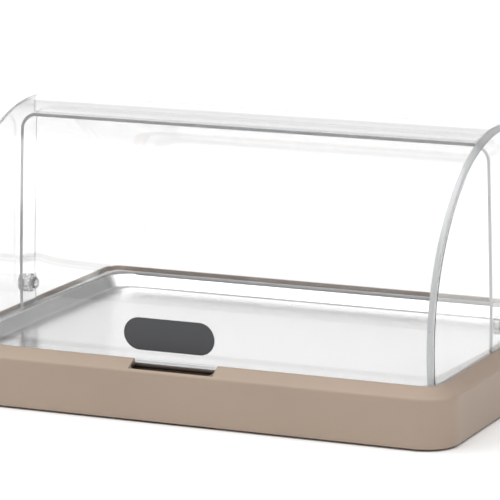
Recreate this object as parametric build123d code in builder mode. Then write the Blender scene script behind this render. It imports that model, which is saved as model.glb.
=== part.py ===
from build123d import *
import os

# Refrigerated buffet display, in millimetres. A food tray lies in a plastic base over two ice
# packs, under a clear roll-top cover of two shells. The origin is on the table under the middle
# of the base, +X runs along the length, +Y to the back and +Z up. The front faces -Y.

# Base housing: outer plan, sloped rim and the wall of the moulding
BASE_LENGTH = 440.0
BASE_DEPTH = 333.0
BASE_CORNER_R = 26.0
RIM_WIDTH = 14.0
RIM_LAND = 1.5
RIM_TOP_Z = 46.0
RIM_EDGE_Z = 39.2
RIM_EDGE_R = 3.0
LAND_EDGE_R = 0.6
SKIRT_BOTTOM_Z = 1.5
SKIRT_BOTTOM_R = 1.2
WALL_T = 3.0
WELL_WALL_T = 2.5
LEDGE_WIDTH = 5.0

# Finger notch in the front rim, with the closed pocket behind it
NOTCH_LENGTH = 69.0
NOTCH_DEPTH = 11.6
NOTCH_CORNER_R = 5.0
NOTCH_X = -2.0
POCKET_BOTTOM_Z = 22.0

# Bottom plate, its screws, the insulation above it and the feet below it
PLATE_T = 2.5
PLATE_CLEARANCE = 0.3
BOSS_R = 4.5
BOSS_EMBED = 1.3
SCREW_R = 1.5
SCREW_LENGTH = 12.0
SCREW_HEAD_R = 2.9
SCREW_HEAD_T = 1.1
SCREW_CLEARANCE = 0.1
SCREW_SLOT_R = 1.2
SCREW_SLOT_DEPTH = 0.6
SCREW_SPAN_X = 240.0
SCREW_SPAN_Y = 160.0
FLOOR_T = 2.5
INSULATION_T = 4.2
INSULATION_INSET = 23.0
INSULATION_CORNER_R = 14.0
INSULATION_CLEARANCE = 0.2
FOOT_R = 9.0
FOOT_RECESS = 1.0
FOOT_INSET = 29.5
FOOT_STEM_R = 3.0
FOOT_BARB_R = 3.8
FOOT_BARB_T = 1.0
FOOT_STEM_ABOVE = 1.2
FOOT_EDGE_R = 0.4

# Food tray, pressed from sheet
TRAY_T = 0.8
TRAY_CLEARANCE = 0.6
TRAY_REST_GAP = 0.3
FLANGE_WIDTH = 8.5
FLANGE_TOP_Z = 42.6
TRAY_DEPTH = 10.0
TRAY_INSET = 7.5
TRAY_TOP_CORNER_R = 26.0
TRAY_FLOOR_CORNER_R = 20.0
TRAY_BEND_R = 2.4

# Ice packs and their filler plugs
PACK_GAP = 4.0
PACK_T = 19.5
PACK_CORNER_R = 14.0
PACK_EDGE_R = 4.0
GROOVE_COUNT = 4
GROOVE_WIDTH = 8.0
GROOVE_PITCH = 34.0
GROOVE_LENGTH = 170.0
GROOVE_DEPTH = 1.6
PLUG_R = 8.0
PLUG_T = 9.0
PLUG_CLEARANCE = 0.05
PLUG_INSET = 24.0
PLUG_SLOT_LENGTH = 10.0
PLUG_SLOT_WIDTH = 2.0
PLUG_SLOT_DEPTH = 1.5

# Roll-top cover: two shells of revolution about axes along X, the rear one inside the front one.
# The rear shell's axis is the pivot axis. The front shell's axis lies a little above it, so that
# the front shell, which turns on the pivots, clears the rear one all the way as it rolls back.
PIVOT_Z = 60.5
REAR_R = 144.8
REAR_CORNER_R = 13.0
REAR_EDGE_Y = -22.5
FRONT_AXIS_RISE = 9.0
FRONT_R = 145.8
FRONT_CORNER_R = 4.5
FRONT_EDGE_Y = 5.5
SHELL_T = 2.0
END_SLOPE = 0.03
END_GAP = 1.3
COVER_SETBACK = 0.8
COVER_BOTTOM_Z = 43.2

# Pivots, one at each end of the cover
PIN_R = 3.0
PIN_RUN = 0.05
PIN_HEAD_R = 4.6
PIN_HEAD_T = 1.8
PIN_HEAD_EDGE_R = 0.6
PIVOT_AIR = 0.3
WASHER_R = 7.0
WASHER_AIR = 0.15
KNOB_R = 7.5
KNOB_LENGTH = 8.2
KNOB_EDGE_R = 1.2
KNOB_BORE_DEPTH = 5.6
KNOB_STEP_R = 5.2
KNOB_STEP_T = 0.8

# Badge on the front shell
BADGE_LENGTH = 75.0
BADGE_HEIGHT = 25.2
BADGE_X = -11.0
BADGE_Z = 63.4
BADGE_T = 0.45
ADHESIVE_T = 0.15
ADHESIVE_INSET = 1.0

# Heights and half sizes that follow from the dimensions above
HALF_L = BASE_LENGTH / 2
HALF_D = BASE_DEPTH / 2
OPEN_L = HALF_L - RIM_WIDTH
OPEN_D = HALF_D - RIM_WIDTH
OPEN_CORNER_R = BASE_CORNER_R - RIM_WIDTH
LEDGE_Z = FLANGE_TOP_Z - TRAY_T - TRAY_REST_GAP
WELL_L = OPEN_L - LEDGE_WIDTH
WELL_D = OPEN_D - LEDGE_WIDTH
PLATE_TOP_Z = SKIRT_BOTTOM_Z + PLATE_T
FLOOR_BOTTOM_Z = PLATE_TOP_Z + INSULATION_T + 2 * INSULATION_CLEARANCE
FLOOR_TOP_Z = FLOOR_BOTTOM_Z + FLOOR_T
FRONT_AXIS_Z = PIVOT_Z + FRONT_AXIS_RISE
FRONT_HALF_LENGTH = OPEN_L - COVER_SETBACK
REAR_HALF_LENGTH = FRONT_HALF_LENGTH - SHELL_T - END_GAP
EAR_R = PIVOT_Z - COVER_BOTTOM_Z
FOOT_X = HALF_L - FOOT_INSET
FOOT_Y = HALF_D - FOOT_INSET

# Band about a height in which the edges at that height are picked
PICK = 0.1

os.makedirs("parts", exist_ok=True)


# Outline of the base and of what follows it: a rectangle with round corners at one height
def plan(height, half_length, half_depth, corner):
    with BuildSketch(Plane.XY.offset(height)) as outline:
        RectangleRounded(2 * half_length, 2 * half_depth, corner)
    return outline.sketch


# Solid of revolution about an axis along X, with conical ends and rounded end corners
def barrel(axis_z, radius, half_length, corner):
    with BuildPart() as turned:
        with BuildSketch(Plane.XZ) as profile:
            with BuildLine():
                Polyline(
                    (-half_length, axis_z),
                    (-half_length + END_SLOPE * radius, axis_z + radius),
                    (half_length - END_SLOPE * radius, axis_z + radius),
                    (half_length, axis_z),
                    close=True,
                )
            make_face()
            fillet(profile.vertices().group_by(Axis.Y)[-1], corner)
        revolve(axis=Axis((0, 0, axis_z), (1, 0, 0)), revolution_arc=360)
    return turned.part


# Stadium shape as seen from the front, drawn on a plane in front of the cover
def badge_outline(inset):
    with BuildSketch(Plane.XZ.offset(FRONT_R / 2)) as outline:
        with Locations((BADGE_X, BADGE_Z)):
            SlotOverall(BADGE_LENGTH - 2 * inset, BADGE_HEIGHT - 2 * inset)
    return outline.sketch


# Curved layer on the front shell between two radii, cut to a stadium shape
def curved_badge(inner_radius, outer_radius, inset):
    with BuildPart() as layer:
        with BuildSketch(Plane.YZ):
            with Locations((0, FRONT_AXIS_Z)):
                Circle(outer_radius)
                Circle(inner_radius, mode=Mode.SUBTRACT)
        extrude(amount=BADGE_LENGTH, both=True)
        extrude(badge_outline(inset), amount=FRONT_R, mode=Mode.INTERSECT)
    return layer.part


# Places of the screws that hold the bottom plate: four along the length, four at the ends
boss_x = WELL_L + WELL_WALL_T + BOSS_R - BOSS_EMBED
boss_y = WELL_D + WELL_WALL_T + BOSS_R - BOSS_EMBED
screw_places = [
    (sign_x * x, sign_y * y)
    for x, y in ((SCREW_SPAN_X / 2, boss_y), (boss_x, SCREW_SPAN_Y / 2))
    for sign_x in (-1, 1)
    for sign_y in (-1, 1)
]

# Hollow inside the rim and skirt: the outer form less the wall, clear of the ledge and the well
with BuildPart() as rim_hollow:
    hollow_top_z = RIM_EDGE_Z - WALL_T
    slope_l = HALF_L - WALL_T
    slope_d = HALF_D - WALL_T
    slope_corner = BASE_CORNER_R - WALL_T
    slope_run = RIM_WIDTH - RIM_LAND
    slope_rise = RIM_TOP_Z - RIM_EDGE_Z
    extrude(plan(SKIRT_BOTTOM_Z, slope_l, slope_d, slope_corner), amount=hollow_top_z - SKIRT_BOTTOM_Z)
    loft(
        [
            plan(hollow_top_z, slope_l, slope_d, slope_corner),
            plan(
                hollow_top_z + slope_rise,
                slope_l - slope_run,
                slope_d - slope_run,
                slope_corner - slope_run,
            ),
        ]
    )
    extrude(
        plan(FLOOR_BOTTOM_Z, WELL_L + WELL_WALL_T, WELL_D + WELL_WALL_T, OPEN_CORNER_R + WELL_WALL_T),
        amount=RIM_TOP_Z,
        mode=Mode.SUBTRACT,
    )
    extrude(
        plan(
            LEDGE_Z - WELL_WALL_T,
            OPEN_L + WELL_WALL_T,
            OPEN_D + WELL_WALL_T,
            OPEN_CORNER_R + WELL_WALL_T,
        ),
        amount=RIM_TOP_Z,
        mode=Mode.SUBTRACT,
    )

# One moulding: sloped rim and skirt outside, a ledge for the tray and the ice-pack well inside
with BuildPart() as base_housing:
    extrude(
        plan(SKIRT_BOTTOM_Z, HALF_L, HALF_D, BASE_CORNER_R),
        amount=RIM_EDGE_Z - SKIRT_BOTTOM_Z,
    )
    loft(
        [
            plan(RIM_EDGE_Z, HALF_L, HALF_D, BASE_CORNER_R),
            plan(
                RIM_TOP_Z,
                OPEN_L + RIM_LAND,
                OPEN_D + RIM_LAND,
                OPEN_CORNER_R + RIM_LAND,
            ),
        ]
    )
    fillet(
        base_housing.edges().filter_by_position(Axis.Z, RIM_EDGE_Z - PICK, RIM_EDGE_Z + PICK),
        RIM_EDGE_R,
    )
    fillet(base_housing.faces().sort_by(Axis.Z)[0].edges(), SKIRT_BOTTOM_R)
    add(rim_hollow.part, mode=Mode.SUBTRACT)
    extrude(plan(LEDGE_Z, OPEN_L, OPEN_D, OPEN_CORNER_R), amount=RIM_TOP_Z, mode=Mode.SUBTRACT)
    extrude(plan(FLOOR_TOP_Z, WELL_L, WELL_D, OPEN_CORNER_R), amount=RIM_TOP_Z, mode=Mode.SUBTRACT)
    fillet(base_housing.faces().sort_by(Axis.Z)[-1].edges(), LAND_EDGE_R)
    with BuildSketch(Plane.XY.offset(PLATE_TOP_Z)):
        with Locations(screw_places):
            Circle(BOSS_R)
    extrude(amount=RIM_EDGE_Z + BOSS_EMBED - PLATE_TOP_Z)
    with BuildSketch(Plane.XY.offset(PLATE_TOP_Z)):
        with Locations(screw_places):
            Circle(SCREW_R + PIN_RUN)
    extrude(amount=SCREW_LENGTH, mode=Mode.SUBTRACT)
    with BuildSketch(Plane.XY.offset(POCKET_BOTTOM_Z - WELL_WALL_T)):
        with Locations((NOTCH_X, -WELL_D)):
            Rectangle(
                NOTCH_LENGTH + 2 * WELL_WALL_T,
                HALF_D - WALL_T / 2 - WELL_D,
                align=(Align.CENTER, Align.MAX),
            )
    extrude(amount=RIM_EDGE_Z - POCKET_BOTTOM_Z)
    with BuildSketch(Plane.XY.offset(POCKET_BOTTOM_Z)):
        with Locations((NOTCH_X, -OPEN_D)):
            RectangleRounded(NOTCH_LENGTH, 2 * NOTCH_DEPTH, NOTCH_CORNER_R)
        with Locations((NOTCH_X, -OPEN_D + NOTCH_DEPTH)):
            Rectangle(NOTCH_LENGTH, 2 * NOTCH_DEPTH, mode=Mode.SUBTRACT)
    extrude(amount=RIM_TOP_Z, mode=Mode.SUBTRACT)
base_housing.part.label = "base_housing"
export_step(base_housing.part, "parts/base_housing.step")

# Flat plate that closes the underside, with recesses for the feet and the screw heads
with BuildPart() as bottom_plate:
    extrude(
        plan(
            SKIRT_BOTTOM_Z,
            HALF_L - WALL_T - PLATE_CLEARANCE,
            HALF_D - WALL_T - PLATE_CLEARANCE,
            BASE_CORNER_R - WALL_T - PLATE_CLEARANCE,
        ),
        amount=PLATE_T,
    )
    with BuildSketch(Plane.XY.offset(SKIRT_BOTTOM_Z)):
        with GridLocations(2 * FOOT_X, 2 * FOOT_Y, 2, 2):
            Circle(FOOT_R + PLATE_CLEARANCE)
    extrude(amount=FOOT_RECESS, mode=Mode.SUBTRACT)
    with BuildSketch(Plane.XY.offset(SKIRT_BOTTOM_Z)):
        with GridLocations(2 * FOOT_X, 2 * FOOT_Y, 2, 2):
            Circle(FOOT_STEM_R + SCREW_CLEARANCE)
        with Locations(screw_places):
            Circle(SCREW_R + SCREW_CLEARANCE)
    extrude(amount=PLATE_T, mode=Mode.SUBTRACT)
    with BuildSketch(Plane.XY.offset(SKIRT_BOTTOM_Z)):
        with Locations(screw_places):
            Circle(SCREW_HEAD_R + SCREW_CLEARANCE)
    extrude(amount=SCREW_HEAD_T + SCREW_CLEARANCE, mode=Mode.SUBTRACT)
bottom_plate.part.label = "bottom_plate"
export_step(bottom_plate.part, "parts/bottom_plate.step")

# Eight screws that hold the plate to the bosses in the housing
with BuildPart() as bottom_screws:
    head_top_z = SKIRT_BOTTOM_Z + SCREW_HEAD_T + SCREW_CLEARANCE
    with BuildSketch(Plane.XY.offset(head_top_z)):
        with Locations(screw_places):
            Circle(SCREW_HEAD_R)
    extrude(amount=-SCREW_HEAD_T)
    with BuildSketch(Plane.XY.offset(head_top_z)):
        with Locations(screw_places):
            Circle(SCREW_R)
    extrude(amount=SCREW_LENGTH)
    with BuildSketch(Plane.XY.offset(head_top_z - SCREW_HEAD_T)):
        with Locations(screw_places):
            RegularPolygon(SCREW_SLOT_R, 6)
    extrude(amount=SCREW_SLOT_DEPTH, mode=Mode.SUBTRACT)
bottom_screws.part.label = "bottom_screws"
export_step(bottom_screws.part, "parts/bottom_screws.step")

# Foam slab between the plate and the floor of the well
with BuildPart() as insulation_slab:
    extrude(
        plan(
            PLATE_TOP_Z + INSULATION_CLEARANCE,
            WELL_L - INSULATION_INSET,
            WELL_D - INSULATION_INSET,
            INSULATION_CORNER_R,
        ),
        amount=INSULATION_T,
    )
insulation_slab.part.label = "insulation_slab"
export_step(insulation_slab.part, "parts/insulation_slab.step")

# Rubber feet, pushed through the plate and held by a barb
foot_places = {
    "front_left": (-FOOT_X, -FOOT_Y),
    "front_right": (FOOT_X, -FOOT_Y),
    "rear_left": (-FOOT_X, FOOT_Y),
    "rear_right": (FOOT_X, FOOT_Y),
}
for place, (foot_x, foot_y) in foot_places.items():
    foot_plane = Plane(origin=(foot_x, foot_y, 0))
    with BuildPart() as foot:
        with BuildSketch(foot_plane):
            Circle(FOOT_R)
        extrude(amount=SKIRT_BOTTOM_Z + FOOT_RECESS)
        fillet(foot.faces().sort_by(Axis.Z)[0].edges(), FOOT_EDGE_R)
        with BuildSketch(foot_plane):
            Circle(FOOT_STEM_R)
        extrude(amount=PLATE_TOP_Z + FOOT_BARB_T + FOOT_STEM_ABOVE)
        with BuildSketch(foot_plane.offset(PLATE_TOP_Z + SCREW_CLEARANCE)):
            Circle(FOOT_BARB_R)
        extrude(amount=FOOT_BARB_T)
    foot.part.label = "foot_" + place
    export_step(foot.part, "parts/foot_" + place + ".step")

# Food tray: a flat flange on the ledge, sloped sides and a flat floor
flange_l = OPEN_L - TRAY_CLEARANCE
flange_d = OPEN_D - TRAY_CLEARANCE
basin_l = flange_l - FLANGE_WIDTH
basin_d = flange_d - FLANGE_WIDTH
tray_floor_z = FLANGE_TOP_Z - TRAY_DEPTH
with BuildPart() as tray:
    extrude(
        plan(FLANGE_TOP_Z - TRAY_T, flange_l, flange_d, OPEN_CORNER_R - TRAY_CLEARANCE),
        amount=TRAY_T,
    )
    loft(
        [
            plan(
                FLANGE_TOP_Z - TRAY_T,
                basin_l + TRAY_T,
                basin_d + TRAY_T,
                TRAY_TOP_CORNER_R + TRAY_T,
            ),
            plan(
                tray_floor_z - TRAY_T,
                basin_l - TRAY_INSET + TRAY_T,
                basin_d - TRAY_INSET + TRAY_T,
                TRAY_FLOOR_CORNER_R + TRAY_T,
            ),
        ]
    )
    fillet(tray.faces().sort_by(Axis.Z)[0].edges(), TRAY_BEND_R + TRAY_T)
    loft(
        [
            plan(FLANGE_TOP_Z, basin_l, basin_d, TRAY_TOP_CORNER_R),
            plan(
                tray_floor_z,
                basin_l - TRAY_INSET,
                basin_d - TRAY_INSET,
                TRAY_FLOOR_CORNER_R,
            ),
        ],
        mode=Mode.SUBTRACT,
    )
    fillet(
        tray.edges().filter_by_position(Axis.Z, tray_floor_z - PICK, tray_floor_z + PICK),
        TRAY_BEND_R,
    )
tray.part.label = "tray"
export_step(tray.part, "parts/tray.step")

# Two ice packs side by side in the well, each with a screw-in filler plug
pack_length = WELL_L - 3 * PACK_GAP / 2
pack_depth = 2 * (WELL_D - PACK_GAP)
pack_clear_z = FLOOR_TOP_Z + INSULATION_CLEARANCE
for side, place in ((-1, "left"), (1, "right")):
    pack_x = side * (pack_length + PACK_GAP) / 2
    plug_plane = Plane(
        origin=(pack_x, -pack_depth / 2 + PLUG_INSET, pack_clear_z + PACK_T),
    )
    with BuildPart() as ice_pack:
        with BuildSketch(Plane.XY.offset(pack_clear_z)):
            with Locations((pack_x, 0)):
                RectangleRounded(pack_length, pack_depth, PACK_CORNER_R)
        extrude(amount=PACK_T)
        fillet(ice_pack.edges().group_by(Axis.Z)[0], PACK_EDGE_R)
        fillet(ice_pack.edges().group_by(Axis.Z)[-1], PACK_EDGE_R)
        with BuildSketch(Plane.XY.offset(pack_clear_z + PACK_T)):
            with Locations((pack_x, 0)):
                with GridLocations(GROOVE_PITCH, 0, GROOVE_COUNT, 1):
                    SlotOverall(GROOVE_LENGTH, GROOVE_WIDTH, rotation=90)
        extrude(amount=-GROOVE_DEPTH, mode=Mode.SUBTRACT)
        with BuildSketch(plug_plane):
            Circle(PLUG_R + PLUG_CLEARANCE)
        extrude(amount=-PLUG_T - PLUG_CLEARANCE, mode=Mode.SUBTRACT)
    ice_pack.part.label = "ice_pack_" + place
    export_step(ice_pack.part, "parts/ice_pack_" + place + ".step")
    with BuildPart() as pack_plug:
        with BuildSketch(plug_plane):
            Circle(PLUG_R)
        extrude(amount=-PLUG_T)
        with BuildSketch(plug_plane):
            SlotOverall(PLUG_SLOT_LENGTH, PLUG_SLOT_WIDTH)
        extrude(amount=-PLUG_SLOT_DEPTH, mode=Mode.SUBTRACT)
    pack_plug.part.label = "pack_plug_" + place
    export_step(pack_plug.part, "parts/pack_plug_" + place + ".step")

# Bore for the pivot pins through the end walls of both shells
with BuildSketch(Plane.YZ) as pivot_bore:
    with Locations((0, PIVOT_Z)):
        Circle(PIN_R + PIN_RUN)

# Rear shell: it stands on the tray's flange and carries the pivots
with BuildSketch(Plane.YZ) as rear_side:
    with Locations((REAR_EDGE_Y, COVER_BOTTOM_Z)):
        Rectangle(2 * REAR_R, 2 * REAR_R, align=(Align.MIN, Align.MIN))
with BuildPart() as rear_cover:
    add(barrel(PIVOT_Z, REAR_R, REAR_HALF_LENGTH, REAR_CORNER_R))
    add(
        barrel(PIVOT_Z, REAR_R - SHELL_T, REAR_HALF_LENGTH - SHELL_T, REAR_CORNER_R - SHELL_T),
        mode=Mode.SUBTRACT,
    )
    extrude(rear_side.sketch, amount=HALF_L, both=True, mode=Mode.INTERSECT)
    extrude(pivot_bore.sketch, amount=HALF_L, both=True, mode=Mode.SUBTRACT)
rear_cover.part.label = "rear_cover"
export_step(rear_cover.part, "parts/rear_cover.step")

# Front shell: it rolls back over the rear shell. Its end walls reach just behind the pivots and
# are round below them, so that they clear the tray as they turn.
with BuildSketch(Plane.YZ) as front_side:
    with Locations((0, COVER_BOTTOM_Z)):
        Rectangle(2 * FRONT_R, 2 * FRONT_R, align=(Align.MAX, Align.MIN))
    with Locations((0, PIVOT_Z)):
        Circle(EAR_R)
    with Locations((FRONT_EDGE_Y, PIVOT_Z)):
        Rectangle(2 * FRONT_EDGE_Y, 2 * FRONT_R, align=(Align.MAX, Align.MIN))
    with Locations((FRONT_EDGE_Y, PIVOT_Z)):
        Rectangle(EAR_R, 2 * EAR_R, align=(Align.MIN, Align.CENTER), mode=Mode.SUBTRACT)
with BuildPart() as front_cover:
    add(barrel(FRONT_AXIS_Z, FRONT_R, FRONT_HALF_LENGTH, FRONT_CORNER_R))
    add(
        barrel(FRONT_AXIS_Z, FRONT_R - SHELL_T, FRONT_HALF_LENGTH - SHELL_T, FRONT_CORNER_R - SHELL_T),
        mode=Mode.SUBTRACT,
    )
    extrude(front_side.sketch, amount=HALF_L, both=True, mode=Mode.INTERSECT)
    extrude(pivot_bore.sketch, amount=HALF_L, both=True, mode=Mode.SUBTRACT)
front_cover.part.label = "front_cover"
export_step(front_cover.part, "parts/front_cover.step")

# Pivot at each end: a pin with its head inside, a washer between the shells, a knob outside
head_face_x = REAR_HALF_LENGTH - SHELL_T - END_SLOPE * PIN_HEAD_R - PIVOT_AIR
knob_face_x = FRONT_HALF_LENGTH + PIVOT_AIR
washer_inner_x = REAR_HALF_LENGTH + WASHER_AIR
washer_outer_x = (
    FRONT_HALF_LENGTH - SHELL_T - END_SLOPE * (FRONT_AXIS_RISE + WASHER_R) - WASHER_AIR
)
for side, place in ((-1, "left"), (1, "right")):
    pivot_plane = Plane(origin=(0, 0, PIVOT_Z), x_dir=(0, 1, 0), z_dir=(side, 0, 0))
    with BuildPart() as pivot_pin:
        with BuildSketch(pivot_plane.offset(head_face_x)):
            Circle(PIN_HEAD_R)
        extrude(amount=-PIN_HEAD_T)
        fillet(pivot_pin.edges().sort_by(Axis((0, 0, 0), (side, 0, 0)))[0], PIN_HEAD_EDGE_R)
        with BuildSketch(pivot_plane.offset(head_face_x)):
            Circle(PIN_R)
        extrude(amount=knob_face_x + KNOB_BORE_DEPTH - head_face_x)
    pivot_pin.part.label = "pivot_pin_" + place
    export_step(pivot_pin.part, "parts/pivot_pin_" + place + ".step")
    with BuildPart() as pivot_washer:
        with BuildSketch(pivot_plane.offset(washer_inner_x)):
            Circle(WASHER_R)
            Circle(PIN_R + PIN_RUN, mode=Mode.SUBTRACT)
        extrude(amount=washer_outer_x - washer_inner_x)
    pivot_washer.part.label = "pivot_washer_" + place
    export_step(pivot_washer.part, "parts/pivot_washer_" + place + ".step")
    with BuildPart() as pivot_knob:
        with BuildSketch(pivot_plane.offset(knob_face_x)):
            Circle(KNOB_R)
        extrude(amount=KNOB_LENGTH - KNOB_STEP_T)
        fillet(pivot_knob.edges().sort_by(Axis((0, 0, 0), (side, 0, 0)))[-1], KNOB_EDGE_R)
        with BuildSketch(pivot_plane.offset(knob_face_x + KNOB_LENGTH - KNOB_STEP_T)):
            Circle(KNOB_STEP_R)
        extrude(amount=KNOB_STEP_T)
        with BuildSketch(pivot_plane.offset(knob_face_x)):
            Circle(PIN_R + PIN_RUN)
        extrude(amount=KNOB_BORE_DEPTH + PIN_RUN, mode=Mode.SUBTRACT)
    pivot_knob.part.label = "pivot_knob_" + place
    export_step(pivot_knob.part, "parts/pivot_knob_" + place + ".step")

# Blank badge on the front shell, held by a thin layer of adhesive
with BuildPart() as badge_adhesive:
    add(curved_badge(FRONT_R, FRONT_R + ADHESIVE_T, ADHESIVE_INSET))
badge_adhesive.part.label = "badge_adhesive"
export_step(badge_adhesive.part, "parts/badge_adhesive.step")

with BuildPart() as badge_plate:
    add(curved_badge(FRONT_R + ADHESIVE_T, FRONT_R + ADHESIVE_T + BADGE_T, 0))
badge_plate.part.label = "badge_plate"
export_step(badge_plate.part, "parts/badge_plate.step")
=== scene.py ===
import math

import bmesh
import bpy
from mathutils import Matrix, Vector


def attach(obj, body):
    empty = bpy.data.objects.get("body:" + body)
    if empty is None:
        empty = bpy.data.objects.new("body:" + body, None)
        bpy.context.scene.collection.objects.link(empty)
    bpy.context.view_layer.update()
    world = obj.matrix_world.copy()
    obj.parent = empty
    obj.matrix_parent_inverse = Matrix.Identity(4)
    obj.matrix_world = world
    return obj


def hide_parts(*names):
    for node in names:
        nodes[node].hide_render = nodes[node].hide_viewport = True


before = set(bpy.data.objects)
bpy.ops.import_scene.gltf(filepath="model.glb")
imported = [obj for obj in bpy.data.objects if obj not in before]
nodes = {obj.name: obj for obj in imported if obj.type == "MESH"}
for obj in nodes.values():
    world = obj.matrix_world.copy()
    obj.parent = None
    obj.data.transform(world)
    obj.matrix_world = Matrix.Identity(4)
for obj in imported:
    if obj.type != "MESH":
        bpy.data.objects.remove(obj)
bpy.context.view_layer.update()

# Camera
# The display is seen through a long lens, from the right of its front and a little above the
# rim, so that both ends run out of the picture.
camera_data = bpy.data.cameras.new("camera")
camera_data.lens = 250.05
camera_data.sensor_width = 36.0
camera_data.clip_end = 50.0
camera = bpy.data.objects.new("camera", camera_data)
camera.location = (1.0756, -2.45189, 0.64637)
camera.rotation_euler = [math.radians(angle) for angle in (78.535, 0.222, 23.81)]
bpy.context.scene.collection.objects.link(camera)
bpy.context.scene.camera = camera


# Studio
# A white paper sweep lies under and behind the display. One long softbox hangs overhead, and the
# dim room behind it gives the clear cover the grey edges by which it is seen.
def linear(hex_colour):
    """A colour written in sRGB hex, as the linear red, green, blue and alpha that a socket takes."""
    values = [int(hex_colour[start : start + 2], 16) / 255 for start in (1, 3, 5)]
    return [v / 12.92 if v <= 0.04045 else ((v + 0.055) / 1.055) ** 2.4 for v in values] + [1.0]


def add_node(owner, kind, links=None, values=None, **settings):
    """Adds a node to a material or world, sets its fields and sockets, and links its inputs."""
    node = owner.node_tree.nodes.new(kind)
    for field, value in settings.items():
        setattr(node, field, value)
    for socket, value in (values or {}).items():
        node.inputs[socket].default_value = value
    for socket, source in (links or {}).items():
        owner.node_tree.links.new(source, node.inputs[socket])
    return node


def new_material(name):
    """A new material, with its Principled shader."""
    material = bpy.data.materials.new(name)
    material.use_nodes = True
    return material, material.node_tree.nodes["Principled BSDF"]


def deselect_all():
    bpy.ops.object.select_all(action="DESELECT")


ROOM_BACK = 0.36
ROOM_FRONT = 0.60
ROOM_RIGHT = 0.72
SWEEP = 1.15
SOFTBOX = 1.95
FLOOR_SPAN = 14.0

bpy.context.scene.view_settings.view_transform = "Standard"
studio = bpy.data.worlds.new("studio")
bpy.context.scene.world = studio
studio.use_nodes = True
direction = add_node(studio, "ShaderNodeTexCoord")
ways = add_node(studio, "ShaderNodeSeparateXYZ", {"Vector": direction.outputs["Generated"]})
room = add_node(
    studio, "ShaderNodeMapRange", {"Value": ways.outputs["Y"]},
    {"From Min": -0.55, "From Max": 0.35, "To Min": ROOM_FRONT, "To Max": ROOM_BACK},
    interpolation_type="SMOOTHSTEP",
)
right = add_node(
    studio, "ShaderNodeMapRange", {"Value": ways.outputs["X"]},
    {"From Min": 0.0, "From Max": 0.5, "To Min": 1.0, "To Max": ROOM_RIGHT},
    interpolation_type="SMOOTHSTEP",
)
room = add_node(
    studio, "ShaderNodeMath", {0: room.outputs["Result"], 1: right.outputs["Result"]},
    operation="MULTIPLY",
)
low = add_node(
    studio, "ShaderNodeMapRange", {"Value": ways.outputs["Z"]},
    {"From Min": 0.30, "From Max": 0.40, "To Min": 1.0, "To Max": 0.0},
    interpolation_type="SMOOTHSTEP",
)
behind = add_node(
    studio, "ShaderNodeMapRange", {"Value": ways.outputs["Y"]},
    {"From Min": -0.2, "From Max": 0.3}, interpolation_type="SMOOTHSTEP",
)
leftward = add_node(
    studio, "ShaderNodeMapRange", {"Value": ways.outputs["X"]},
    {"From Min": 0.05, "From Max": 0.28, "To Min": 1.0, "To Max": 0.0}, interpolation_type="SMOOTHSTEP",
)
sweep = add_node(
    studio, "ShaderNodeMath", {0: low.outputs["Result"], 1: behind.outputs["Result"]},
    operation="MULTIPLY",
)
sweep = add_node(
    studio, "ShaderNodeMath", {0: sweep.outputs["Value"], 1: leftward.outputs["Result"]},
    operation="MULTIPLY",
)
surround = add_node(
    studio, "ShaderNodeMix", {"Factor": sweep.outputs["Value"], "A": room.outputs["Value"]}, {"B": SWEEP},
)
box_front = add_node(
    studio, "ShaderNodeMapRange", {"Value": ways.outputs["Y"]},
    {"From Min": -0.62, "From Max": -0.42}, interpolation_type="SMOOTHSTEP",
)
box_back = add_node(
    studio, "ShaderNodeMapRange", {"Value": ways.outputs["Y"]},
    {"From Min": 0.18, "From Max": 0.32, "To Min": 1.0, "To Max": 0.0}, interpolation_type="SMOOTHSTEP",
)
box_low = add_node(
    studio, "ShaderNodeMapRange", {"Value": ways.outputs["Z"]},
    {"From Min": 0.45, "From Max": 0.62}, interpolation_type="SMOOTHSTEP",
)
box_depth = add_node(
    studio, "ShaderNodeMath", {0: box_front.outputs["Result"], 1: box_back.outputs["Result"]},
    operation="MULTIPLY",
)
box = add_node(
    studio, "ShaderNodeMath", {0: box_depth.outputs["Value"], 1: box_low.outputs["Result"]},
    operation="MULTIPLY",
)
glow = add_node(
    studio, "ShaderNodeMath", {0: box.outputs["Value"], 2: surround.outputs["Result"]}, {1: SOFTBOX},
    operation="MULTIPLY_ADD",
)
backdrop = studio.node_tree.nodes["Background"]
backdrop.inputs["Color"].default_value = linear("#FFFFFF")
studio.node_tree.links.new(glow.outputs["Value"], backdrop.inputs["Strength"])

deselect_all()
bpy.ops.mesh.primitive_plane_add(size=FLOOR_SPAN)
floor = bpy.context.object
floor.name = "floor"
paper, shader = new_material("white_paper")
shader.inputs["Base Color"].default_value = linear("#F9F9F9")
shader.inputs["Roughness"].default_value = 0.9
floor.data.materials.append(paper)


# Base housing
# One ABS moulding in taupe, with a sloped rim and a finger notch through the front of it. Its
# outside is spark-eroded in the mould, which leaves a fine even grain and a soft sheen.
def wear(material, *names):
    """Puts the material on the CAD nodes of these names."""
    for name in names:
        nodes[name].data.materials.clear()
        nodes[name].data.materials.append(material)


NOTCH_X = -0.002
NOTCH_HALF = 0.0347
NOTCH_FRONT = -0.1645
NOTCH_BACK = -0.1520
NOTCH_TOP = 0.0440

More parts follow.
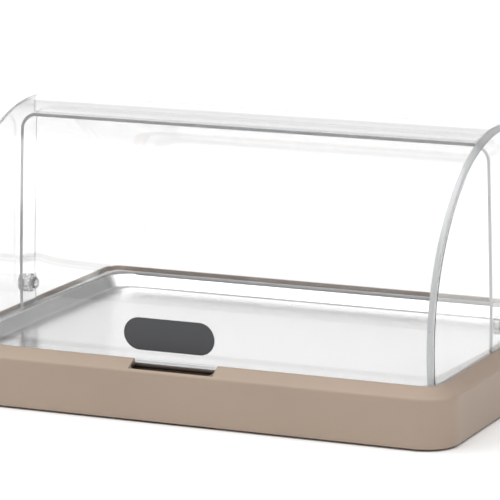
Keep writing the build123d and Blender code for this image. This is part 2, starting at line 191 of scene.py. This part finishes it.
# Moulded ABS: a satin plastic, a little lighter and darker in broad clouds, with 0.5 mm grain.
# It is one plastic throughout. A mask by position darkens it inside the finger notch, to stand for
# the deep shade there, which the soft light of the studio would fill.
taupe, shader = new_material("ABS")
place = add_node(taupe, "ShaderNodeTexCoord")
clouds = add_node(
    taupe, "ShaderNodeTexNoise", {"Vector": place.outputs["Object"]}, {"Scale": 9.0, "Detail": 3.0},
)
tint = add_node(taupe, "ShaderNodeValToRGB", {"Fac": clouds.outputs["Fac"]})
tint.color_ramp.elements[0].position = 0.3
tint.color_ramp.elements[0].color = linear("#A49181")
tint.color_ramp.elements[1].position = 0.7
tint.color_ramp.elements[1].color = linear("#A99686")
spot = add_node(taupe, "ShaderNodeSeparateXYZ", {"Vector": place.outputs["Object"]})
behind_lip = add_node(
    taupe, "ShaderNodeMapRange", {"Value": spot.outputs["Y"]},
    {"From Min": NOTCH_FRONT, "From Max": NOTCH_FRONT + 0.0005},
)
before_well = add_node(
    taupe, "ShaderNodeMapRange", {"Value": spot.outputs["Y"]},
    {"From Min": NOTCH_BACK - 0.0002, "From Max": NOTCH_BACK, "To Min": 1.0, "To Max": 0.0},
)
below_rim = add_node(
    taupe, "ShaderNodeMapRange", {"Value": spot.outputs["Z"]},
    {"From Min": NOTCH_TOP - 0.0045, "From Max": NOTCH_TOP, "To Min": 1.0, "To Max": 0.0},
)
off_middle = add_node(taupe, "ShaderNodeMath", {0: spot.outputs["X"]}, {1: NOTCH_X}, operation="SUBTRACT")
off_middle = add_node(taupe, "ShaderNodeMath", {0: off_middle.outputs["Value"]}, operation="ABSOLUTE")
along = add_node(
    taupe, "ShaderNodeMapRange", {"Value": off_middle.outputs["Value"]},
    {"From Min": NOTCH_HALF, "From Max": NOTCH_HALF + 0.0004, "To Min": 1.0, "To Max": 0.0},
)
shade = behind_lip.outputs["Result"]
for mask in (before_well, below_rim, along):
    shade = add_node(
        taupe, "ShaderNodeMath", {0: shade, 1: mask.outputs["Result"]}, operation="MULTIPLY"
    ).outputs["Value"]
inside = add_node(
    taupe, "ShaderNodeMix", {"Factor": shade, 6: tint.outputs["Color"]}, {7: linear("#0C0907")},
    data_type="RGBA",
)
taupe.node_tree.links.new(inside.outputs[2], shader.inputs["Base Color"])
grain = add_node(
    taupe, "ShaderNodeTexNoise", {"Vector": place.outputs["Object"]}, {"Scale": 2000.0, "Detail": 2.0},
)
sheen = add_node(
    taupe, "ShaderNodeMapRange", {"Value": grain.outputs["Fac"]}, {"To Min": 0.36, "To Max": 0.48},
)
taupe.node_tree.links.new(sheen.outputs["Result"], shader.inputs["Roughness"])
erosion = add_node(
    taupe, "ShaderNodeBump", {"Height": grain.outputs["Fac"]}, {"Strength": 0.12, "Distance": 0.0002},
)
taupe.node_tree.links.new(erosion.outputs["Normal"], shader.inputs["Normal"])
wear(taupe, "base_housing", "bottom_plate")


# Food tray
# Pressed from 0.8 mm stainless sheet: a flat flange that lies on the ledge of the housing, walls
# that slope in, and a flat floor. The sheet is satin, so it mirrors what is near it softly.
def pick(piece, kind, test):
    """In edit mode, selects the vertices, edges or faces of which each corner passes the test."""
    bpy.ops.mesh.select_mode(type=kind)
    bpy.ops.mesh.select_all(action="DESELECT")
    mesh = bmesh.from_edit_mesh(piece.data)
    for item in {"VERT": mesh.verts, "EDGE": mesh.edges, "FACE": mesh.faces}[kind]:
        corners = [item] if kind == "VERT" else item.verts
        if all(test(corner.co) for corner in corners):
            item.select_set(True)
    mesh.select_flush_mode()
    bmesh.update_edit_mesh(piece.data)


def near(value, target, reach=0.00005):
    return abs(value - target) < reach


def edit(piece):
    deselect_all()
    piece.select_set(True)
    bpy.context.view_layer.objects.active = piece
    bpy.ops.object.mode_set(mode="EDIT")


def stop_edit():
    bpy.ops.object.mode_set(mode="OBJECT")


def plane(location, scale, rotation=(0, 0, 0)):
    """A plane 1 m square, scaled and put in its place."""
    deselect_all()
    bpy.ops.mesh.primitive_plane_add(size=1, location=location, rotation=rotation)
    made = bpy.context.object
    made.scale = scale
    bpy.ops.object.transform_apply(location=True, rotation=True, scale=True)
    return made


def lay_outline(half_length, half_depth, height, corner, steps=12):
    """A flat face with round corners, made from a plane."""
    outline = plane((0, 0, height), (2 * half_length, 2 * half_depth, 1))
    edit(outline)
    pick(outline, "VERT", lambda at: True)
    bpy.ops.mesh.bevel(offset=corner, affect="VERTICES", segments=steps, profile=0.5)
    stop_edit()
    return outline


def join(name, *pieces):
    deselect_all()
    for piece in pieces:
        piece.select_set(True)
    bpy.context.view_layer.objects.active = pieces[0]
    bpy.ops.object.join()
    pieces[0].name = name
    pieces[0].data.name = name
    return pieces[0]


def modify(piece, kind, **settings):
    """Gives the piece one modifier and applies it."""
    deselect_all()
    piece.select_set(True)
    bpy.context.view_layer.objects.active = piece
    modifier = piece.modifiers.new(kind, kind)
    for field, value in settings.items():
        setattr(modifier, field, value)
    bpy.ops.object.modifier_apply(modifier=modifier.name)


def close_up(piece):
    """Merges the corners that coincide and turns every face outwards."""
    edit(piece)
    bpy.ops.mesh.select_all(action="SELECT")
    bpy.ops.mesh.remove_doubles(threshold=0.000005)
    bpy.ops.mesh.normals_make_consistent(inside=False)
    stop_edit()


def smooth(piece, angle=35):
    """Smooths what turns gently, with the large faces flat up to their rounded edges."""
    deselect_all()
    piece.select_set(True)
    bpy.context.view_layer.objects.active = piece
    bpy.ops.object.shade_smooth_by_angle(angle=math.radians(angle))
    modify(piece, "WEIGHTED_NORMAL", mode="FACE_AREA", weight=50, keep_sharp=True)


TRAY_TOP = 0.0426
TRAY_FLOOR = 0.0326
TRAY_HALVES = (0.2054, 0.1519)
BASIN_HALVES = (0.1969, 0.1434)
FLOOR_HALVES = (0.1894, 0.1359)
TRAY_CORNER = 0.0114
BASIN_CORNER = 0.026
FLOOR_CORNER = 0.020
TRAY_SHEET = 0.0008
RIM_BEND = 0.0009
FLOOR_BEND = 0.0016

tray = join(
    "food_tray",
    lay_outline(*TRAY_HALVES, TRAY_TOP, TRAY_CORNER),
    lay_outline(*BASIN_HALVES, TRAY_TOP, BASIN_CORNER),
    lay_outline(*FLOOR_HALVES, TRAY_FLOOR, FLOOR_CORNER),
)


def on_basin(at):
    """On the line where the flange bends down into the tray, round corners included."""
    beyond_x = max(abs(at.x) - BASIN_HALVES[0] + BASIN_CORNER, 0)
    beyond_y = max(abs(at.y) - BASIN_HALVES[1] + BASIN_CORNER, 0)
    return near(at.z, TRAY_TOP) and near(math.hypot(beyond_x, beyond_y), BASIN_CORNER, 0.0003)


edit(tray)
pick(tray, "FACE", lambda at: near(at.z, TRAY_TOP))
bpy.ops.mesh.delete(type="ONLY_FACE")
pick(tray, "EDGE", lambda at: near(at.z, TRAY_TOP))
bpy.ops.mesh.bridge_edge_loops()
pick(tray, "EDGE", lambda at: on_basin(at) or near(at.z, TRAY_FLOOR))
bpy.ops.mesh.bridge_edge_loops()
pick(tray, "EDGE", on_basin)
bpy.ops.mesh.bevel(offset=RIM_BEND, segments=4, affect="EDGES")
pick(tray, "EDGE", lambda at: near(at.z, TRAY_FLOOR))
bpy.ops.mesh.bevel(offset=FLOOR_BEND, segments=5, affect="EDGES")
stop_edit()
close_up(tray)
modify(tray, "SOLIDIFY", thickness=TRAY_SHEET, offset=-1.0)
smooth(tray)

# Satin stainless steel: the sheet's rolling grain runs along the tray, in streaks 0.4 mm wide.
# The flange is set matter than the basin, by height, as bright as the photo shows it.
steel, shader = new_material("satin_stainless_steel")
shader.inputs["Metallic"].default_value = 1.0
shader.inputs["Anisotropic"].default_value = 0.4
across = add_node(steel, "ShaderNodeCombineXYZ", values={"Y": 1.0})
steel.node_tree.links.new(across.outputs["Vector"], shader.inputs["Tangent"])
place = add_node(steel, "ShaderNodeTexCoord")
stretch = add_node(
    steel, "ShaderNodeMapping", {"Vector": place.outputs["Object"]}, {"Scale": (30.0, 2400.0, 400.0)},
)
streaks = add_node(
    steel, "ShaderNodeTexNoise", {"Vector": stretch.outputs["Vector"]}, {"Scale": 1.0, "Detail": 3.0},
)
tone = add_node(steel, "ShaderNodeValToRGB", {"Fac": streaks.outputs["Fac"]})
tone.color_ramp.elements[0].color = linear("#E8E8E8")
tone.color_ramp.elements[1].color = linear("#F6F6F6")
steel.node_tree.links.new(tone.outputs["Color"], shader.inputs["Base Color"])
polish = add_node(
    steel, "ShaderNodeMapRange", {"Value": streaks.outputs["Fac"]}, {"To Min": 0.17, "To Max": 0.25},
)
height = add_node(steel, "ShaderNodeSeparateXYZ", {"Vector": place.outputs["Object"]})
on_flange = add_node(
    steel, "ShaderNodeMapRange", {"Value": height.outputs["Z"]},
    {"From Min": TRAY_TOP - 0.0006, "From Max": TRAY_TOP - 0.0003, "To Min": 0.0, "To Max": 0.36},
)
matting = add_node(
    steel, "ShaderNodeMath", {0: polish.outputs["Result"], 1: on_flange.outputs["Result"]},
    operation="ADD",
)
steel.node_tree.links.new(matting.outputs["Value"], shader.inputs["Roughness"])
rolling = add_node(
    steel, "ShaderNodeBump", {"Height": streaks.outputs["Fac"]}, {"Strength": 0.05, "Distance": 0.00005},
)
steel.node_tree.links.new(rolling.outputs["Normal"], shader.inputs["Normal"])
tray.data.materials.append(steel)
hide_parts("tray")
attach(tray, "tray")


# Rear shell
# The inner of the two clear shells, which stands still. It is moulded in SAN as a barrel with
# rounded ends, and its front edge is trimmed and matt, so it shows as a soft grey line.
END_SLOPE = 0.03


def turn_surface(axis_z, radius, half_length, corner, turns=144):
    """A closed barrel about an axis along X, turned from a plane that stands on the axis."""
    profile = plane((0, 0, axis_z + radius / 2), (2 * half_length, radius, 1), (math.pi / 2, 0, 0))
    edit(profile)
    pick(profile, "VERT", lambda at: near(at.z, axis_z + radius))
    narrowing = 1 - END_SLOPE * radius / half_length
    bpy.ops.transform.resize(value=(narrowing, 1, 1), center_override=(0, 0, 0))
    bpy.ops.mesh.bevel(offset=corner, affect="VERTICES", segments=10, profile=0.5)
    pick(profile, "FACE", lambda at: True)
    bpy.ops.mesh.delete(type="ONLY_FACE")
    pick(profile, "EDGE", lambda at: near(at.z, axis_z))
    bpy.ops.mesh.delete(type="EDGE")
    pick(profile, "VERT", lambda at: True)
    bpy.ops.mesh.spin(steps=turns, angle=2 * math.pi, center=(0, 0, axis_z), axis=(1, 0, 0))
    bpy.ops.mesh.select_all(action="SELECT")
    bpy.ops.mesh.remove_doubles(threshold=0.000005)
    bpy.ops.mesh.normals_make_consistent(inside=False)
    stop_edit()
    return profile


def trim(piece, cuts):
    """Cuts away what lies beyond each plane, given by a point and a normal, and closes the cut."""
    edit(piece)
    for point, normal in cuts:
        bpy.ops.mesh.select_all(action="SELECT")
        bpy.ops.mesh.bisect(plane_co=point, plane_no=normal, use_fill=True, clear_outer=True)
    stop_edit()


def mark_edges(piece, material, cuts):
    """Gives the cut faces their own material, as the second of the piece's two."""
    piece.data.materials.append(material)
    for face in piece.data.polygons:
        for point, normal in cuts:
            facing = Vector(normal).normalized()
            corners = [piece.data.vertices[corner].co for corner in face.vertices]
            if all(abs((corner - Vector(point)).dot(facing)) < CUT_REACH for corner in corners):
                face.material_index = 1


CUT_REACH = 0.00032
EDGE_ROUNDING = 0.0003
PIVOT_BORE = 0.00305
SHELL_WALL = 0.002
COVER_BOTTOM = 0.0432
PIVOT_Z = 0.0605
REAR_RADIUS = 0.1448
REAR_HALF_LENGTH = 0.2019
REAR_WALL = 0.0025
REAR_CORNER = 0.013
REAR_EDGE_Y = -0.0225
REAR_CUTS = (((0, REAR_EDGE_Y, 0), (0, -1, 0)), ((0, 0, COVER_BOTTOM), (0, 0, -1)))

rear_shell = join(
    "rear_shell",
    turn_surface(PIVOT_Z, REAR_RADIUS, REAR_HALF_LENGTH, REAR_CORNER),
    turn_surface(
        PIVOT_Z, REAR_RADIUS - REAR_WALL, REAR_HALF_LENGTH - REAR_WALL, REAR_CORNER - REAR_WALL
    ),
)
trim(rear_shell, REAR_CUTS)
close_up(rear_shell)


def bore_pivots(piece):
    """Drills both end walls for the pivot pins."""
    deselect_all()
    bpy.ops.mesh.primitive_cylinder_add(
        vertices=48, radius=PIVOT_BORE, depth=0.45, location=(0, 0, PIVOT_Z), rotation=(0, math.pi / 2, 0)
    )
    drill = bpy.context.object
    bpy.ops.object.transform_apply(location=True, rotation=True, scale=True)
    modify(piece, "BOOLEAN", operation="DIFFERENCE", object=drill, solver="EXACT")
    bpy.data.objects.remove(drill)


modify(
    rear_shell, "BEVEL", width=EDGE_ROUNDING, segments=3, limit_method="ANGLE",
    angle_limit=math.radians(50),
)
bore_pivots(rear_shell)
smooth(rear_shell)

# Clear SAN: a glassy plastic with a high gloss, and the slow waves that moulding leaves in it
clear, shader = new_material("clear_SAN")
shader.inputs["Base Color"].default_value = linear("#FFFFFF")
shader.inputs["Transmission Weight"].default_value = 1.0
shader.inputs["IOR"].default_value = 1.55
place = add_node(clear, "ShaderNodeTexCoord")
haze = add_node(
    clear, "ShaderNodeTexNoise", {"Vector": place.outputs["Object"]}, {"Scale": 260.0, "Detail": 2.0},
)
clarity = add_node(
    clear, "ShaderNodeMapRange", {"Value": haze.outputs["Fac"]}, {"To Min": 0.0, "To Max": 0.03},
)
clear.node_tree.links.new(clarity.outputs["Result"], shader.inputs["Roughness"])
waves = add_node(
    clear, "ShaderNodeTexNoise", {"Vector": place.outputs["Object"]}, {"Scale": 14.0, "Detail": 1.0},
)
flow = add_node(
    clear, "ShaderNodeBump", {"Height": waves.outputs["Fac"]}, {"Strength": 0.02, "Distance": 0.001},
)
clear.node_tree.links.new(flow.outputs["Normal"], shader.inputs["Normal"])

# Trimmed SAN edge: the same plastic left matt by the cutter, so it glows a soft grey
cut_edge, shader = new_material("SAN_cut_edge")
shader.inputs["Base Color"].default_value = linear("#ECEDEE")
shader.inputs["Transmission Weight"].default_value = 0.25
shader.inputs["IOR"].default_value = 1.55
place = add_node(cut_edge, "ShaderNodeTexCoord")
tool_marks = add_node(
    cut_edge, "ShaderNodeTexNoise", {"Vector": place.outputs["Object"]}, {"Scale": 1800.0, "Detail": 2.0},
)
matt = add_node(
    cut_edge, "ShaderNodeMapRange", {"Value": tool_marks.outputs["Fac"]}, {"To Min": 0.4, "To Max": 0.7},
)
cut_edge.node_tree.links.new(matt.outputs["Result"], shader.inputs["Roughness"])
rear_shell.data.materials.append(clear)
mark_edges(rear_shell, cut_edge, REAR_CUTS)
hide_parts("rear_cover")
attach(rear_shell, "rear_cover")


# Front shell
# The outer clear shell, which turns on the pivots and rolls back over the rear one. It is the
# same SAN, thicker where its curved front is welded to the end walls. The weld is tinted grey as
# painted shade, for the dark band that the thick corner shows.
FRONT_AXIS_Z = 0.0695
FRONT_RADIUS = 0.1458
FRONT_HALF_LENGTH = 0.2052
FRONT_CORNER = 0.0045
JOINT_FILLET = 0.0032
FRONT_EDGE_Y = 0.0055
HEEL_SLOPE = 0.16
FRONT_CUTS = (
    ((0, FRONT_EDGE_Y, 0), (0, 1, 0)),
    ((0, 0, COVER_BOTTOM), (0, 0, -1)),
    ((0, 0, COVER_BOTTOM), (0, HEEL_SLOPE, -1)),
)

front_shell = join(
    "front_shell",
    turn_surface(FRONT_AXIS_Z, FRONT_RADIUS, FRONT_HALF_LENGTH, FRONT_CORNER),
    turn_surface(
        FRONT_AXIS_Z, FRONT_RADIUS - SHELL_WALL, FRONT_HALF_LENGTH - SHELL_WALL, JOINT_FILLET
    ),
)
trim(front_shell, FRONT_CUTS)
close_up(front_shell)
modify(
    front_shell, "BEVEL", width=EDGE_ROUNDING, segments=3, limit_method="ANGLE",
    angle_limit=math.radians(50),
)
bore_pivots(front_shell)
smooth(front_shell)
front_shell.data.materials.append(clear)
mark_edges(front_shell, cut_edge, FRONT_CUTS)

# Solvent-welded SAN: the fillet of softened plastic in the corner, a little hazy. Its grey is
# painted shade, for the dark band that the thick corner shows.
weld_shade, shader = new_material("welded_SAN_painted_shade")
# Painted shade: a grey base colour stands for the darkening that refraction gives the thick corner
shader.inputs["Base Color"].default_value = linear("#B9BBBD")
shader.inputs["Transmission Weight"].default_value = 0.8
shader.inputs["IOR"].default_value = 1.55
place = add_node(weld_shade, "ShaderNodeTexCoord")
crazing = add_node(
    weld_shade, "ShaderNodeTexNoise", {"Vector": place.outputs["Object"]}, {"Scale": 500.0, "Detail": 3.0},
)
haze = add_node(
    weld_shade, "ShaderNodeMapRange", {"Value": crazing.outputs["Fac"]}, {"To Min": 0.22, "To Max": 0.40},
)
weld_shade.node_tree.links.new(haze.outputs["Result"], shader.inputs["Roughness"])
front_shell.data.materials.append(weld_shade)
OFF_SKIN = 0.00005
weld_foot = FRONT_HALF_LENGTH - SHELL_WALL
inner_radius = FRONT_RADIUS - SHELL_WALL
for face in front_shell.data.polygons:
    reach = math.hypot(face.center.y, face.center.z - FRONT_AXIS_Z)
    outward = abs(face.center.x)
    end_wall = weld_foot - END_SLOPE * reach
    in_corner = reach > inner_radius - JOINT_FILLET and outward > end_wall - JOINT_FILLET
    within = reach < inner_radius - OFF_SKIN and outward < end_wall - OFF_SKIN
    if in_corner and within and face.material_index == 0:
        face.material_index = 2
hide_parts("front_cover")
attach(front_shell, "front_cover")


# Pivots
# A clear pin goes through both shells at each end, with a washer between them and a turned knob
# pressed on outside. All are moulded in clear polystyrene, a little hazy where it is thick.
KNOB_FACE = 0.2055
KNOB_RADIUS = 0.0075
KNOB_BODY = 0.0074
KNOB_STEP_RADIUS = 0.0052
KNOB_STEP = 0.0008
KNOB_BORE_DEPTH = 0.00565

deselect_all()
bpy.ops.mesh.primitive_cylinder_add(
    vertices=64, radius=KNOB_RADIUS, depth=KNOB_BODY,
    location=(KNOB_FACE + KNOB_BODY / 2, 0, PIVOT_Z), rotation=(0, math.pi / 2, 0),
)
knob_right = bpy.context.object
knob_right.name = "knob_right"
bpy.ops.object.transform_apply(location=True, rotation=True, scale=True)
edit(knob_right)
pick(knob_right, "FACE", lambda at: near(at.x, KNOB_FACE + KNOB_BODY))
bpy.ops.mesh.inset(thickness=KNOB_RADIUS - KNOB_STEP_RADIUS)
bpy.ops.mesh.extrude_region_move(TRANSFORM_OT_translate={"value": (KNOB_STEP, 0, 0)})
pick(knob_right, "FACE", lambda at: near(at.x, KNOB_FACE))
bpy.ops.mesh.inset(thickness=KNOB_RADIUS - PIVOT_BORE)
bpy.ops.mesh.extrude_region_move(TRANSFORM_OT_translate={"value": (KNOB_BORE_DEPTH, 0, 0)})
pick(
    knob_right, "EDGE",
    lambda at: near(at.x, KNOB_FACE + KNOB_BODY) and math.hypot(at.y, at.z - PIVOT_Z) > 0.007,
)
bpy.ops.mesh.bevel(offset=0.0012, segments=5, affect="EDGES")
stop_edit()
close_up(knob_right)
modify(knob_right, "BEVEL", width=0.0002, segments=2, limit_method="ANGLE", angle_limit=math.radians(50))
smooth(knob_right)

knob_left = knob_right.copy()
knob_left.data = knob_right.data.copy()
knob_left.name = "knob_left"
bpy.context.scene.collection.objects.link(knob_left)
deselect_all()
knob_left.select_set(True)
bpy.context.view_layer.objects.active = knob_left
knob_left.rotation_euler = (0, 0, math.pi)
bpy.ops.object.transform_apply(location=True, rotation=True, scale=True)

# Clear polystyrene: as clear as the shells but thick and softly hazed, with a satin skin
pivot_clear, shader = new_material("clear_polystyrene")
shader.inputs["Base Color"].default_value = linear("#FAFBFB")
shader.inputs["Transmission Weight"].default_value = 0.96
shader.inputs["IOR"].default_value = 1.55
place = add_node(pivot_clear, "ShaderNodeTexCoord")
haze = add_node(
    pivot_clear, "ShaderNodeTexNoise", {"Vector": place.outputs["Object"]}, {"Scale": 900.0, "Detail": 2.0},
)
clarity = add_node(
    pivot_clear, "ShaderNodeMapRange", {"Value": haze.outputs["Fac"]}, {"To Min": 0.06, "To Max": 0.14},
)
pivot_clear.node_tree.links.new(clarity.outputs["Result"], shader.inputs["Roughness"])
for side, knob in (("left", knob_left), ("right", knob_right)):
    knob.data.materials.append(pivot_clear)
    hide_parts("pivot_knob_" + side)
    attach(knob, "rear_cover")
wear(pivot_clear, "pivot_pin_left", "pivot_pin_right", "pivot_washer_left", "pivot_washer_right")


# Badge
# A bare plate with round ends, cut from thin charcoal PVC sheet and bent to the front shell,
# where a layer of adhesive film holds it.
BADGE_X = -0.011
BADGE_Z = 0.0634
BADGE_INNER = 0.14595
BADGE_SHEET = 0.00045
BADGE_LENGTH = 0.075
BADGE_HEIGHT = 0.0252
BADGE_END = 0.01259


def badge_bar(radius, length):
    """A closed round bar on the front shell's axis, at the badge's place along it."""
    deselect_all()
    bpy.ops.mesh.primitive_cylinder_add(
        vertices=720, radius=radius, depth=length,
        location=(BADGE_X, 0, FRONT_AXIS_Z), rotation=(0, math.pi / 2, 0),
    )
    bpy.ops.object.transform_apply(location=True, rotation=True, scale=True)
    return bpy.context.object


badge = badge_bar(BADGE_INNER + BADGE_SHEET, 0.1)
badge.name = "badge"
badge.data.name = "badge"
core = badge_bar(BADGE_INNER, 0.12)
modify(badge, "BOOLEAN", operation="DIFFERENCE", object=core, solver="EXACT")
bpy.data.objects.remove(core)
stadium = plane((BADGE_X, -0.1, BADGE_Z), (BADGE_LENGTH, BADGE_HEIGHT, 1), (math.pi / 2, 0, 0))
edit(stadium)
pick(stadium, "VERT", lambda at: True)
bpy.ops.mesh.bevel(offset=BADGE_END, affect="VERTICES", segments=24, profile=0.5)
bpy.ops.mesh.select_all(action="SELECT")
bpy.ops.mesh.extrude_region_move(TRANSFORM_OT_translate={"value": (0, -0.1, 0)})
stop_edit()
close_up(stadium)
modify(badge, "BOOLEAN", operation="INTERSECT", object=stadium, solver="EXACT")
bpy.data.objects.remove(stadium)
modify(badge, "BEVEL", width=0.00012, segments=2, limit_method="ANGLE", angle_limit=math.radians(50))
smooth(badge)

# Charcoal PVC sheet: a matt embossed skin, with a fine grain of about 0.4 mm
charcoal, shader = new_material("PVC_sheet")
place = add_node(charcoal, "ShaderNodeTexCoord")
skin = add_node(
    charcoal, "ShaderNodeTexNoise", {"Vector": place.outputs["Object"]}, {"Scale": 2500.0, "Detail": 2.0},
)
tone = add_node(charcoal, "ShaderNodeValToRGB", {"Fac": skin.outputs["Fac"]})
tone.color_ramp.elements[0].color = linear("#434446")
tone.color_ramp.elements[1].color = linear("#4B4C4E")
charcoal.node_tree.links.new(tone.outputs["Color"], shader.inputs["Base Color"])
sheen = add_node(
    charcoal, "ShaderNodeMapRange", {"Value": skin.outputs["Fac"]}, {"To Min": 0.42, "To Max": 0.60},
)
charcoal.node_tree.links.new(sheen.outputs["Result"], shader.inputs["Roughness"])
emboss = add_node(
    charcoal, "ShaderNodeBump", {"Height": skin.outputs["Fac"]}, {"Strength": 0.15, "Distance": 0.0001},
)
charcoal.node_tree.links.new(emboss.outputs["Normal"], shader.inputs["Normal"])
badge.data.materials.append(charcoal)
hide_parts("badge_plate")
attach(badge, "front_cover")

# Adhesive film: a thin grey acrylic layer, soft and slightly rough at its edge
glue, shader = new_material("acrylic_adhesive")
place = add_node(glue, "ShaderNodeTexCoord")
bubbles = add_node(
    glue, "ShaderNodeTexNoise", {"Vector": place.outputs["Object"]}, {"Scale": 700.0, "Detail": 2.0},
)
tone = add_node(glue, "ShaderNodeValToRGB", {"Fac": bubbles.outputs["Fac"]})
tone.color_ramp.elements[0].color = linear("#4C4D4E")
tone.color_ramp.elements[1].color = linear("#5A5B5C")
glue.node_tree.links.new(tone.outputs["Color"], shader.inputs["Base Color"])
shader.inputs["Roughness"].default_value = 0.6
wear(glue, "badge_adhesive")


# Feet
# Four black rubber pads under the corners of the bottom plate. Each is moulded with a stem, which
# is pushed through a hole in the plate and held there by its barb.

# Moulded rubber: black, matt and faintly pitted
rubber, shader = new_material("rubber")
place = add_node(rubber, "ShaderNodeTexCoord")
pits = add_node(
    rubber, "ShaderNodeTexNoise", {"Vector": place.outputs["Object"]}, {"Scale": 1500.0, "Detail": 3.0},
)
tone = add_node(rubber, "ShaderNodeValToRGB", {"Fac": pits.outputs["Fac"]})
tone.color_ramp.elements[0].color = linear("#161616")
tone.color_ramp.elements[1].color = linear("#242424")
rubber.node_tree.links.new(tone.outputs["Color"], shader.inputs["Base Color"])
shader.inputs["Roughness"].default_value = 0.75
pitting = add_node(
    rubber, "ShaderNodeBump", {"Height": pits.outputs["Fac"]}, {"Strength": 0.2, "Distance": 0.0002},
)
rubber.node_tree.links.new(pitting.outputs["Normal"], shader.inputs["Normal"])
wear(rubber, "foot_front_left", "foot_front_right", "foot_rear_left", "foot_rear_right")


# Ice packs and their plugs
# Two flat packs, blow-moulded in polyethylene and laid side by side in the well. Each has a round
# filling hole, which a plug closes.

# Blow-moulded polyethylene: pale blue and milky, with an uneven skin
pack_skin, shader = new_material("blow_moulded_polyethylene")
place = add_node(pack_skin, "ShaderNodeTexCoord")
mottle = add_node(
    pack_skin, "ShaderNodeTexNoise", {"Vector": place.outputs["Object"]}, {"Scale": 60.0, "Detail": 4.0},
)
tone = add_node(pack_skin, "ShaderNodeValToRGB", {"Fac": mottle.outputs["Fac"]})
tone.color_ramp.elements[0].color = linear("#A9CBE6")
tone.color_ramp.elements[1].color = linear("#C3DDF0")
pack_skin.node_tree.links.new(tone.outputs["Color"], shader.inputs["Base Color"])
shader.inputs["Roughness"].default_value = 0.38
uneven = add_node(
    pack_skin, "ShaderNodeBump", {"Height": mottle.outputs["Fac"]}, {"Strength": 0.3, "Distance": 0.001},
)
pack_skin.node_tree.links.new(uneven.outputs["Normal"], shader.inputs["Normal"])
wear(pack_skin, "ice_pack_left", "ice_pack_right")

# Moulded polyethylene: a deeper blue, smooth and a little waxy
plug_skin, shader = new_material("moulded_polyethylene")
place = add_node(plug_skin, "ShaderNodeTexCoord")
mottle = add_node(
    plug_skin, "ShaderNodeTexNoise", {"Vector": place.outputs["Object"]}, {"Scale": 400.0, "Detail": 2.0},
)
tone = add_node(plug_skin, "ShaderNodeValToRGB", {"Fac": mottle.outputs["Fac"]})
tone.color_ramp.elements[0].color = linear("#2F6FB2")
tone.color_ramp.elements[1].color = linear("#3878BA")
plug_skin.node_tree.links.new(tone.outputs["Color"], shader.inputs["Base Color"])
shader.inputs["Roughness"].default_value = 0.4
wear(plug_skin, "pack_plug_left", "pack_plug_right")


# Insulation
# A slab of expanded polystyrene, moulded in one piece. It lies loose between the floor of the well
# and the bottom plate, which holds it there.

# Expanded polystyrene: white, with its beads showing
foam, shader = new_material("expanded_polystyrene")
place = add_node(foam, "ShaderNodeTexCoord")
beads = add_node(foam, "ShaderNodeTexVoronoi", {"Vector": place.outputs["Object"]}, {"Scale": 280.0})
tone = add_node(foam, "ShaderNodeValToRGB", {"Fac": beads.outputs["Distance"]})
tone.color_ramp.elements[0].color = linear("#F7F7F5")
tone.color_ramp.elements[1].color = linear("#DEDEDA")
foam.node_tree.links.new(tone.outputs["Color"], shader.inputs["Base Color"])
shader.inputs["Roughness"].default_value = 0.85
dimples = add_node(
    foam, "ShaderNodeBump", {"Height": beads.outputs["Distance"]}, {"Strength": 0.4, "Distance": 0.0006},
    invert=True,
)
foam.node_tree.links.new(dimples.outputs["Normal"], shader.inputs["Normal"])
wear(foam, "insulation_slab")


# Screws
# Eight short screws of plated steel with low round heads, turned up through the bottom plate into
# the bosses of the housing. They are all alike, so they are one node.

# Zinc-plated steel: a pale grey metal with a fine uneven shine
zinc, shader = new_material("zinc_plated_steel")
shader.inputs["Metallic"].default_value = 1.0
place = add_node(zinc, "ShaderNodeTexCoord")
spangle = add_node(
    zinc, "ShaderNodeTexNoise", {"Vector": place.outputs["Object"]}, {"Scale": 900.0, "Detail": 2.0},
)
tone = add_node(zinc, "ShaderNodeValToRGB", {"Fac": spangle.outputs["Fac"]})
tone.color_ramp.elements[0].color = linear("#B4B8BC")
tone.color_ramp.elements[1].color = linear("#CDD0D2")
zinc.node_tree.links.new(tone.outputs["Color"], shader.inputs["Base Color"])
polish = add_node(
    zinc, "ShaderNodeMapRange", {"Value": spangle.outputs["Fac"]}, {"To Min": 0.25, "To Max": 0.42},
)
zinc.node_tree.links.new(polish.outputs["Result"], shader.inputs["Roughness"])
wear(zinc, "bottom_screws")
